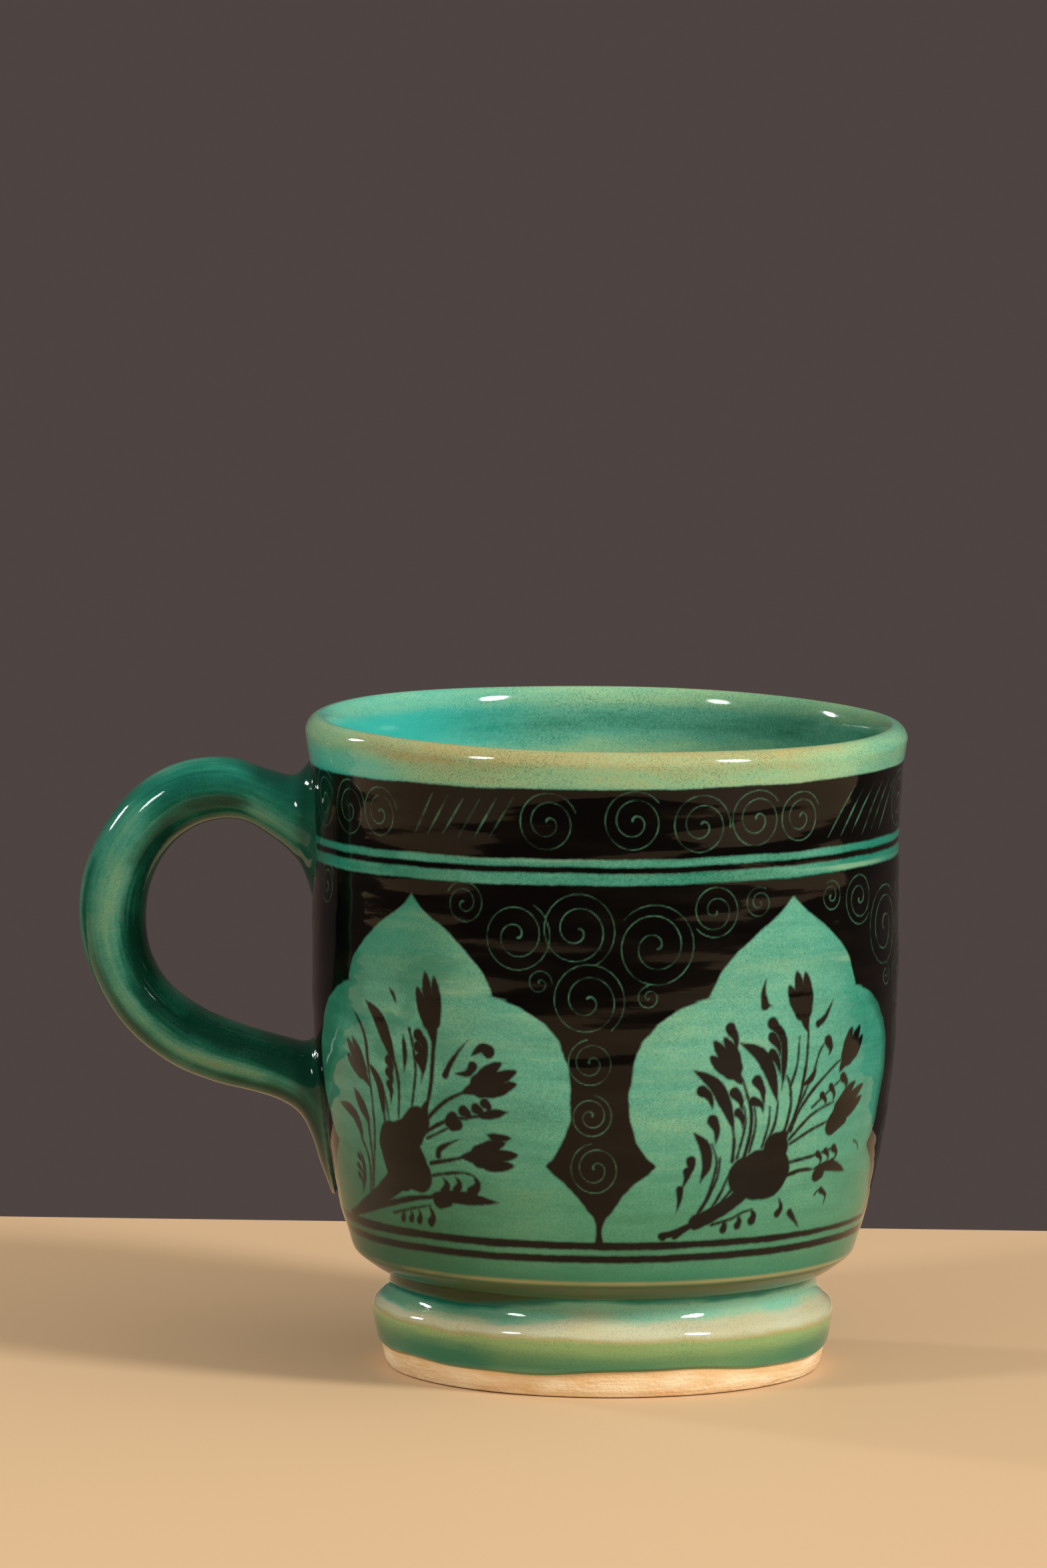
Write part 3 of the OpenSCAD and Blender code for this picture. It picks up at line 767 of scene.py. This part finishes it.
# Bands of glaze down the handle: where each takes over, then places from outer (0) to inner edge (1) and depths
HANDLE_BANDS = (
    (0, 0, 0, 0.8, 0.15, 0.55, 0.35, 0.32, 0.55, 0.24, 0.65, 0.18, 0.78, 0.38, 0.95, 0.65),
    (0.13, 0.19, 0, 0.35, 0.1, 0.5, 0.25, 0.8, 0.5, 0.76, 0.65, 0.92, 0.75, 0.7, 0.88, 0.6, 1, 0.85),
    (0.24, 0.32, 0, 0.7, 0.12, 0.52, 0.3, 0.46, 0.5, 0.56, 0.6, 0.7, 0.75, 1, 0.9, 1, 1, 0.8),
    (0.36, 0.42, 0, 0.35, 0.06, 0.5, 0.13, 0.85, 0.22, 0.6, 0.33, 0.38, 0.48, 0.25, 0.6, 0.3, 0.7, 0.62,
     0.82, 0.98),
    (0.5, 0.6, 0, 0.6, 0.1, 0.72, 0.22, 0.8, 0.31, 0.4, 0.42, 0.22, 0.5, 0.55, 0.58, 0.8, 0.75, 0.95, 1, 0.75),
)


def handle_finish(look):
    """Long bands of thin and pooled glaze, from the outer edge round to the inner one."""
    finish = Finish("handle_glaze")
    span, x, height = finish.span, finish.axis(0), finish.axis(2)
    grain = finish.attribute("grain", "Vector")
    waves = finish.drift(1, 1, stretch=(1.3, 1.3, 7), where=grain)
    streaks = finish.drift(1, 1, stretch=(8, 8, 9), where=grain)
    across = 0.5 - finish.part(grain, 0) * 0.5 + waves * 0.18 + streaks * 0.05
    along = finish.part(grain, 2) + waves * 0.12
    bands = None
    for start, end, *stops in HANDLE_BANDS:
        band = finish.ramp(across, *((place, (deep,) * 3) for place, deep in zip(stops[::2], stops[1::2])))
        bands = finish.mix(span(along, start, end), bands, band) if bands else band
    mottle = finish.drift(0.9, 110, 4, shift=(0.1, 0, 0)) + finish.drift(0.6, 45, 2)
    depth = bands + span(x, -54, -46, 0, 0.25) + span(height, 82, 90, 0, 0.24) + mottle + streaks * 0.5
    finish.bump(ripples(finish) + finish.noise(240, 2) * 0.3, 0.12)
    return finish.glossy(finish.coat(
        glaze_colour(finish, depth, look, 0),
        (0.56, finish.mix(bands, look.pooled, look.deepest)),
        (span(height, 70, 82) * span(across, 0.25, 0.6, 0.2, 0), look.cool_deep),
        (span(x, -48.8, -45.8, 0, 0.75), look.deepest),
    ), 0.06, 0.12)


# The foot's glaze, from its lower edge (0) to the wall (1); the dark stops at the top, in the neck, are partly
# painted shade under the bowl
FOOT_GLAZE = (
    (0, "streak"), (0.06, "low_green"), (0.2, "low_green"), (0.36, "olive"), (0.42, "olive"), (0.46, "thin"),
    (0.53, "pale"), (0.62, "pale"), (0.7, "cool_pale"), (0.86, "cool_pale"), (0.92, "cool_deep"),
    (0.97, "pooled"), (1, "dull_glaze_and_shade"),
)


def foot_finish(look):
    """By height: pooled under the ridge, thin on it, milky on the shoulder, a cool pool in the neck."""
    finish = Finish("foot_glaze")
    span, noise, x = finish.span, finish.noise, finish.axis(0)
    height = finish.axis(2) + finish.drift(2, 40) + finish.drift(1, 190, stretch=(1, 1, 6))
    share = (height - BARE_TOP) * (1 / (FOOT_TOP - BARE_TOP))
    # Where olive gives way to pooled glaze: mottled, and more pooled to the left as painted shade.
    olive = span(noise(40, 2) + span(x, -2, -24, -0.14, 0.24), 0.45, 0.68)
    share = share + span(x, 0, -22, -0.06, 0.12) * span(share, 0.5, 0.72)
    wash = span(share, 0.06, 0.34, 0.6, 0) * span(noise(34, 3, shift=(0.5, 0, 0)), 0.36, 0.6, 0.4, 1)
    colour = finish.coat(
        finish.ramp(share, *((place, getattr(look, name)) for place, name in FOOT_GLAZE)),
        (span(share, 0.3, 0.42, 0.5, 0), finish.mix(olive, look.olive, look.pooled)),
        (wash, look.pooled),
    )
    # Painted shade on the left of the foot, where its shoulder meets the neck.
    colour = finish.mix(span(x, 4, -20) * span(share, 0.62, 0.78), colour, NECK_SHADE, "MULTIPLY")
    clouds = span(noise(70, 4, (1, 1, 2.5), (0.3, 0, 0)), 0.46, 0.7, 0, 0.55)
    clouds = clouds * span(share, 0.5, 0.56) * span(share, 0.86, 0.7)
    colour = finish.coat(colour, (clouds, look.milky_tan), (specks(finish) * 0.7, look.speck))
    finish.bump(ripples(finish) + noise(1500, 2) * span(share, 0.5, 0.6) * 0.06, 0.08)
    return finish.set(Base_Color=colour, Roughness=0.06, IOR=GLAZE_INDEX)


def clay_finish(look):
    """Sandy bare clay, toasted next to the glaze."""
    finish = Finish("bare_clay")
    grain = finish.noise(1500, 4, rough=0.65)
    tone = finish.noise(120, 3, (1, 1, 3)) - finish.span(finish.axis(2), 1.8, 4.4, 0, 0.22)
    colour = finish.ramp(tone, (0.32, look.clay_dark), (0.62, look.clay))
    colour = finish.mix(finish.span(grain, 0.58, 0.74) * 0.4, colour, look.clay_dark)
    finish.bump(grain + finish.noise(260, 2, (1, 1, 8)) * 0.8, 0.18)
    return finish.set(Base_Color=colour, Roughness=0.78, IOR=CLAY_INDEX)


# Settings that a user may change


def tone(name, default, description):
    return FloatVectorProperty(
        name=name, description=description, default=default, subtype="COLOR", size=3, min=0, max=1)


class MugLook(bpy.types.PropertyGroup):
    thin: tone("Thin glaze", (0.36, 0.32, 0.135), "Tan where the glaze runs thin")
    streak: tone("Pale glaze", (0.25, 0.43, 0.23), "Where the glaze is pale")
    body: tone("Glaze", (0.098, 0.325, 0.222), "The usual glaze")
    pooled: tone("Pooled glaze", (0.016, 0.15, 0.09), "Glaze that has run together")
    deepest: tone("Deepest glaze", (0.0012, 0.028, 0.016), "The thickest glaze")
    cool: tone("Turquoise", (0.02, 0.42, 0.36), "Cooler pools of glaze")
    cool_deep: tone("Deep turquoise", (0.01, 0.21, 0.155), "Cool glaze at either side of the wall")
    ridge: tone("Ridges", (0.36, 0.54, 0.3), "Thin glaze on the rings of the throwing")
    low_green: tone("Lower glaze", (0.055, 0.185, 0.08), "Greener glaze on the lower wall")
    olive: tone("Olive", (0.24, 0.35, 0.13), "Green glaze on the foot")
    cool_pale: tone("Pale turquoise", (0.2, 0.46, 0.31), "Cool glaze where the neck begins")
    milky_tan: tone("Milky tan", (0.5, 0.43, 0.23), "Tan clouds in the milky glaze")
    pale: tone("Milky glaze", (0.48, 0.475, 0.31), "Milky glaze on the collar's shoulder")
    # Brownish glaze in the neck and under the arris, partly painted shade.
    dull_glaze_and_shade: tone("Dull glaze", (0.065, 0.09, 0.026), "Brownish glaze in the neck")
    speck: tone("Specks", (0.03, 0.1, 0.04), "Fine dark specks")
    slip: tone("Slip", (0.0012, 0.001, 0.0007), "Black slip")
    thin_slip: tone("Thin slip", (0.005, 0.0035, 0.002), "Brown-black where the slip is thin")
    amber: tone("Amber", (0.035, 0.012, 0.001), "Slip wiped thin beside the handle")
    scratch: tone("Scratches", (0.06, 0.17, 0.095), "Clay under green glaze in the scratches")
    clay: tone("Clay", (0.88, 0.7, 0.44), "Bare clay")
    clay_dark: tone("Toasted clay", (0.76, 0.5, 0.24), "Bare clay next to the glaze")
    softness: FloatProperty(
        name="Brush softness", description="Half the width of a brushed edge, in millimetres",
        default=0.27, min=0.02, max=0.5)


class MugForm(bpy.types.PropertyGroup):
    wall_columns: IntProperty(
        name="Wall columns", description="Faces across each painted panel", default=284, min=40, max=400)
    turned_columns: IntProperty(
        name="Turned columns", description="Faces round the inside and the foot", default=300, min=60, max=500)
    fillet: FloatProperty(
        name="Joint fillet", description="Radius where the handle runs into the wall",
        default=0.0026, min=0.0005, max=0.005, unit="LENGTH")
    glaze_edge: FloatProperty(
        name="Glaze edge", description="How far the glaze's lower edge wanders",
        default=0.00035, min=0, max=0.001, unit="LENGTH")


class StudioSettings(bpy.types.PropertyGroup):
    camera_distance: FloatProperty(
        name="Camera distance", description="From the mug's axis", default=1.3625, min=0.3, unit="LENGTH")
    camera_height: FloatProperty(
        name="Camera height", description="Above the table", default=0.2309, unit="LENGTH")
    lens: FloatProperty(
        name="Lens", description="Focal length on a frame 36 mm high", default=204.53, min=20)
    floor: tone("Floor", (0.6, 0.395, 0.215), "Plain pale table top")
    backdrop: tone("Backdrop", (0.075, 0.057, 0.052), "Plain backdrop")
    room: tone("Room light", (1, 0.97, 0.93), "Soft light from the bright side of the room")
    dim_room: tone("Dim room", (0.12, 0.12, 0.12), "Soft light from the dim side of the room")


class MUG_OT_wall(bpy.types.Operator):
    """Adds the painted and glazed outside as four panels that meet in the black ground"""

    bl_idname = "mug.wall"
    bl_label = "Painted Wall"

    def execute(self, context):
        form, look = context.scene.mug_form, context.scene.mug_look
        path = wall_path()
        finish = wall_finish(look)
        ends = PENDANT_SIDES + [PENDANT_SIDES[0] + 360]
        for number, (first, last) in enumerate(zip(ends, ends[1:])):
            piece = turned(
                f"painted_wall_{number + 1}", path, form.wall_columns,
                lambda side, r, z: (r + thrown(side, z), z + lean(side, z)), first, last,
            )
            across, up = np.meshgrid(np.linspace(first, last, form.wall_columns + 1), path[:, 1])
            outside = np.arange(len(path))[:, None] <= np.argmax(path[:, 1])
            outside = np.broadcast_to(outside, across.shape).ravel()
            for name, distance in (("slip", slip_distance), ("scratch", scratch_distance)):
                store(piece, name, np.where(outside, distance(across.ravel(), up.ravel()), FAR))
            finished(
                piece, finish, "green_glaze", "glaze_outside", "slip_band", "slip_line", "slip_ground", "slip_ring"
            )
        return {"FINISHED"}


class MUG_OT_clay(bpy.types.Operator):
    """Adds the clay cup under the glaze, which shows on the underside"""

    bl_idname = "mug.clay"
    bl_label = "Clay Cup"

    def execute(self, context):
        underside = [(0, FOOT_TOP), (WALL_STATIONS[0][0], FOOT_TOP)]
        cup = curve(WALL_STATIONS[1:] + lip_stations() + INNER_STATIONS, 12)
        whole = spaced(np.vstack([underside, cup]), CUP_GAP)
        along = np.gradient(whole, axis=0)
        along /= np.linalg.norm(along, axis=1)[:, None]
        deep = COAT * smooth(FOOT_TOP, FOOT_TOP + 2, whole[:, 1])
        path = whole - np.column_stack([along[:, 1] * deep, -along[:, 0] * deep])
        path[:, 0] = np.maximum(path[:, 0], 0)
        path[-1, 0] = 0
        piece = closed(turned(
            "clay_cup", path, context.scene.mug_form.turned_columns // 2,
            lambda side, r, z: (r + thrown(side, z) * smooth(20, 30, r), z + lean(side, z)),
        ))
        finished(piece, clay_finish(context.scene.mug_look), "clay", "body")
        return {"FINISHED"}


class MUG_OT_inside(bpy.types.Operator):
    """Adds the glazed inside, from the lip's crest to the middle of the floor"""

    bl_idname = "mug.inside"
    bl_label = "Glazed Inside"

    def execute(self, context):
        piece = closed(turned(
            "glazed_inside", cup_paths()[1], context.scene.mug_form.turned_columns,
            lambda side, r, z: (r + thrown(side, z) * np.clip(r / 30, 0, 1), z + lean(side, z)),
        ))
        finished(piece, inside_finish(context.scene.mug_look), "green_glaze", "glaze_inside")
        return {"FINISHED"}


class MUG_OT_foot(bpy.types.Operator):
    """Adds the glazed foot and its bare clay ring"""

    bl_idname = "mug.foot"
    bl_label = "Turned Foot"

    def execute(self, context):
        form, look = context.scene.mug_form, context.scene.mug_look
        path = spaced(curve(FOOT_STATIONS, 10), FOOT_GAP)
        edge = form.glaze_edge / MM

        def wandering(side, radius, height):
            a = np.radians(side)
            wave = edge * (np.sin(3 * a + 1) + 0.8 * np.sin(5 * a) + 0.25 * np.sin(13 * a + 2))
            near = smooth(7.5, BARE_TOP, height)
            roll = smooth(BARE_TOP + 0.45, BARE_TOP, height) * 0.55
            return radius + thrown(side, height * 1.3) * 0.8 - roll, height + wave * near

        piece = closed(turned("glazed_foot", path[::-1], form.turned_columns, wandering))
        finished(piece, foot_finish(look), "deep_green_glaze", "glaze_foot")
        clay = spaced(curve(CLAY_STATIONS, 8), RING_GAP)
        ring = closed(turned(
            "bare_foot_ring", clay[::-1], form.turned_columns,
            lambda side, r, z: (r + thrown(side, z * 1.7) * 0.6 * smooth(0, 1, z), z),
        ))
        finished(ring, clay_finish(look), "clay", "foot")
        return {"FINISHED"}


# The handle's spine in millimetres: reach from the axis and height, thickness and width, and lean in degrees
HANDLE_STATIONS = [
    (41.3, 79.6, 20.9, 17.8, 90), (45.4, 82.8, 17.6, 16.6, 89), (48, 84.1, 13.1, 14.9, 85),
    (51.7, 86.2, 10.9, 13.7, 83), (57.3, 88.5, 9.9, 13.3, 78), (63.6, 87.9, 10, 13.3, 66),
    (69.2, 84.7, 10.3, 13.3, 49), (73.3, 79.5, 10.4, 13.3, 33), (75.7, 73.2, 10.4, 13.3, 17),
    (76, 66.5, 10.1, 13.3, 0), (74.4, 60.5, 9.8, 13.3, -18), (70.7, 54.8, 9.6, 13.3, -38),
    (64.9, 50.2, 9.8, 13.3, -58), (59, 47.7, 9.9, 13.4, -74), (53.3, 46.2, 9.5, 13.9, -82),
    (49.2, 45, 9.6, 15.1, -82), (46, 43.4, 10.6, 16.1, -80), (43.6, 40.4, 12.2, 14.6, -76),
    (41.8, 35.9, 11.5, 10.8, -70), (40.4, 30.6, 9, 6, -70),
]


def wall_radius(height):
    path = curve(WALL_STATIONS, 12)
    return np.interp(height, path[:, 1], path[:, 0])


class MUG_OT_handle(bpy.types.Operator):
    """Adds the pulled handle, flared where it was pressed and smeared on to the wall"""

    bl_idname = "mug.handle"
    bl_label = "Pulled Handle"

    def execute(self, context):
        spine = curve(HANDLE_STATIONS, 9)
        rows, columns = len(spine) - 1, 64
        fillet = context.scene.mug_form.fillet / MM
        share = shares(spine[:, :2])

        def place(across, up):
            row = np.rint(up * rows).astype(int)
            reach, high, thick, wide, tilt = spine[row].T
            angle, tilt = 2 * pi * across, np.radians(tilt)
            rounded = np.abs(np.cos(angle)) ** 0.94 * np.sign(np.cos(angle))
            out = thick / 2 * rounded * (1 + 0.012 * np.sin(share[row] * 31 + 2 * np.sin(angle)))
            aside = wide / 2 * np.sin(angle) * (1 + 0.012 * np.sin(share[row] * 23))
            middle = np.column_stack([-reach, 0 * reach, high])
            points = middle + np.column_stack([-out * np.cos(tilt), -aside, out * np.sin(tilt)])
            return flared(points, middle, fillet) * MM, np.column_stack([across, share[row]])

        piece = sheet_of("glazed_handle", columns, rows, place)
        across, up = np.meshgrid(np.linspace(0, 1, columns + 1), share)
        angle = 2 * pi * across.ravel()
        grain = np.column_stack([np.cos(angle), np.sin(angle), up.ravel()]).astype(np.float32)
        layer = piece.data.attributes.new("grain", "FLOAT_VECTOR", "POINT")
        layer.data.foreach_set("vector", grain.ravel())
        finish = handle_finish(context.scene.mug_look)
        finished(closed(piece), finish, "deep_green_glaze", "glaze_handle", "handle")
        return {"FINISHED"}


def flared(points, middle, fillet):
    """Spreads the points that come near the wall along it, in a round fillet."""
    radius = np.hypot(points[:, 0], points[:, 1])
    off = radius - wall_radius(points[:, 2])
    away = points - middle
    outward = np.column_stack([points[:, 0] / radius, points[:, 1] / radius, 0 * radius])
    along = away - (away * outward).sum(1)[:, None] * outward
    along /= np.maximum(np.linalg.norm(along, axis=1), 1e-6)[:, None]
    near = np.clip(off, 0, fillet)
    spread = fillet - np.sqrt(np.maximum(fillet**2 - (fillet - near) ** 2, 0))
    return points + along * spread[:, None]


class MUG_OT_studio(bpy.types.Operator):
    """Adds the table top, the lamps, the dim room behind and the camera"""

    bl_idname = "mug.studio"
    bl_label = "Studio"

    def execute(self, context):
        studio = context.scene.mug_studio
        add_stage(studio)
        add_lamps()
        add_world(studio)
        add_camera(context.scene, studio)
        context.scene.view_settings.view_transform = "Standard"
        return {"FINISHED"}


# How far the table top reaches from the mug's axis, and how thick it is
TABLE_FRONT, TABLE_BACK, TABLE_SIDE, TABLE_DEPTH = 0.4, 0.143, 0.62, 0.05


def add_stage(studio):
    """Adds the plain table top, with its rounded edge."""
    bpy.ops.object.select_all(action="DESELECT")
    bpy.ops.mesh.primitive_cube_add(size=1)
    table = bpy.context.object
    table.name = "table_top"
    table.data.transform(
        Matrix.Translation((0, (TABLE_BACK - TABLE_FRONT) / 2, -TABLE_DEPTH / 2 - 0.0001))
        @ Matrix.Diagonal((2 * TABLE_SIDE, TABLE_BACK + TABLE_FRONT, TABLE_DEPTH, 1))
    )
    edited(bpy.ops.mesh.bevel, offset=0.004, segments=4)
    table.data.materials.append(Finish("table_paint").set(Base_Color=(*studio.floor, 1), Roughness=0.6))


# Lamps: degrees to the right of the camera and up, width, height and watts
LAMPS = {
    "lamp_right": (55, 36, 0.25, 0.4, 14),
    "lamp_left": (-53, 36, 0.19, 0.3, 5.5),
    "lamp_back": (-118, 26, 0.13, 0.22, 4),
}
LAMP_DISTANCE = 1.3
LAMP_TARGET = Vector((0, 0, 0.06))


def add_lamps():
    """Adds two tall lamps in front, and one behind on the handle's side."""
    for name, (side, rise, wide, tall, watts) in LAMPS.items():
        a, e = radians(270 + CAMERA_TURN + side), radians(rise)
        place = LAMP_TARGET + LAMP_DISTANCE * Vector((cos(a) * cos(e), sin(a) * cos(e), sin(e)))
        bpy.ops.object.light_add(type="AREA", location=place)
        lamp = bpy.context.object
        lamp.name = name
        lamp.rotation_euler = (LAMP_TARGET - place).to_track_quat("-Z", "Y").to_euler()
        lamp.data.shape = "ELLIPSE"
        lamp.data.size, lamp.data.size_y, lamp.data.energy = wide, tall, watts


# Where the room is brightest: to the right, in front and above
BRIGHT_SIDE = (0.62, -0.45, 0.64)


def add_world(studio):
    """Soft light on the object, and the backdrop's own tone wherever the world shows or is mirrored."""
    world = bpy.data.worlds.new("studio")
    bpy.context.scene.world = world
    sky = Graph(world)
    seen, mirrored, through = (
        sky.node("ShaderNodeLightPath", {}, {}, f"Is {ray} Ray") for ray in ("Camera", "Glossy", "Transmission"))
    shown = seen.math("MAXIMUM", seen.math("MAXIMUM", seen, mirrored), through)
    where = sky.node("ShaderNodeTexCoord", {}, {}, "Generated")
    toward = sky.node("ShaderNodeVectorMath", {"operation": "DOT_PRODUCT"}, {0: where, 1: BRIGHT_SIDE}, "Value")
    room = sky.mix(sky.span(toward, -0.1, 1), studio.dim_room, studio.room)
    sky.feed(sky.tree.nodes["Background"].inputs["Color"], sky.mix(shown, room, studio.backdrop))


CAMERA_YAW, CAMERA_PITCH, CAMERA_ROLL = radians(-0.535), radians(5.916), radians(0.336)


def add_camera(scene, studio):
    """Adds the camera, turned a little from the middle of the mug as in the photograph."""
    bpy.ops.object.camera_add()
    camera = bpy.context.object
    turn = Matrix.Rotation(radians(CAMERA_TURN), 3, "Z")
    ahead = Vector((sin(CAMERA_YAW) * cos(CAMERA_PITCH), cos(CAMERA_YAW) * cos(CAMERA_PITCH), -sin(CAMERA_PITCH)))
    right = Vector((cos(CAMERA_YAW), -sin(CAMERA_YAW), 0))
    up = right.cross(ahead)
    level = Matrix((right, up, -ahead)).transposed()
    camera.matrix_world = Matrix.Translation(
        turn @ Vector((0, -studio.camera_distance, studio.camera_height))
    ) @ (turn @ level @ Matrix.Rotation(CAMERA_ROLL, 3, "Z")).to_4x4()
    camera.data.sensor_fit = "VERTICAL"
    camera.data.sensor_height = 36
    camera.data.lens = studio.lens
    camera.data.clip_start = 0.05
    scene.camera = camera


class MUG_PT_tools(bpy.types.Panel):
    bl_label = "Painted Mug"
    bl_idname = "MUG_PT_tools"
    bl_space_type = "VIEW_3D"
    bl_region_type = "UI"
    bl_category = "Mug"

    def draw(self, context):
        for step in STEPS:
            self.layout.operator(step.bl_idname)
        for group in ("mug_form", "mug_look", "mug_studio"):
            settings = getattr(context.scene, group)
            box = self.layout.box()
            for key in settings.__annotations__:
                box.prop(settings, key)


STEPS = (MUG_OT_wall, MUG_OT_clay, MUG_OT_inside, MUG_OT_foot, MUG_OT_handle, MUG_OT_studio)
GROUPS = {"mug_form": MugForm, "mug_look": MugLook, "mug_studio": StudioSettings}


def register():
    for item in (*GROUPS.values(), *STEPS, MUG_PT_tools):
        bpy.utils.register_class(item)
    for name, group in GROUPS.items():
        setattr(bpy.types.Scene, name, PointerProperty(type=group))


def unregister():
    for name in GROUPS:
        delattr(bpy.types.Scene, name)
    for item in reversed((*GROUPS.values(), *STEPS, MUG_PT_tools)):
        bpy.utils.unregister_class(item)


def main():
    register()
    bpy.ops.mug.wall()
    bpy.ops.mug.clay()
    bpy.ops.mug.inside()
    bpy.ops.mug.foot()
    bpy.ops.mug.handle()
    bpy.ops.mug.studio()


if __name__ == "__main__":
    main()
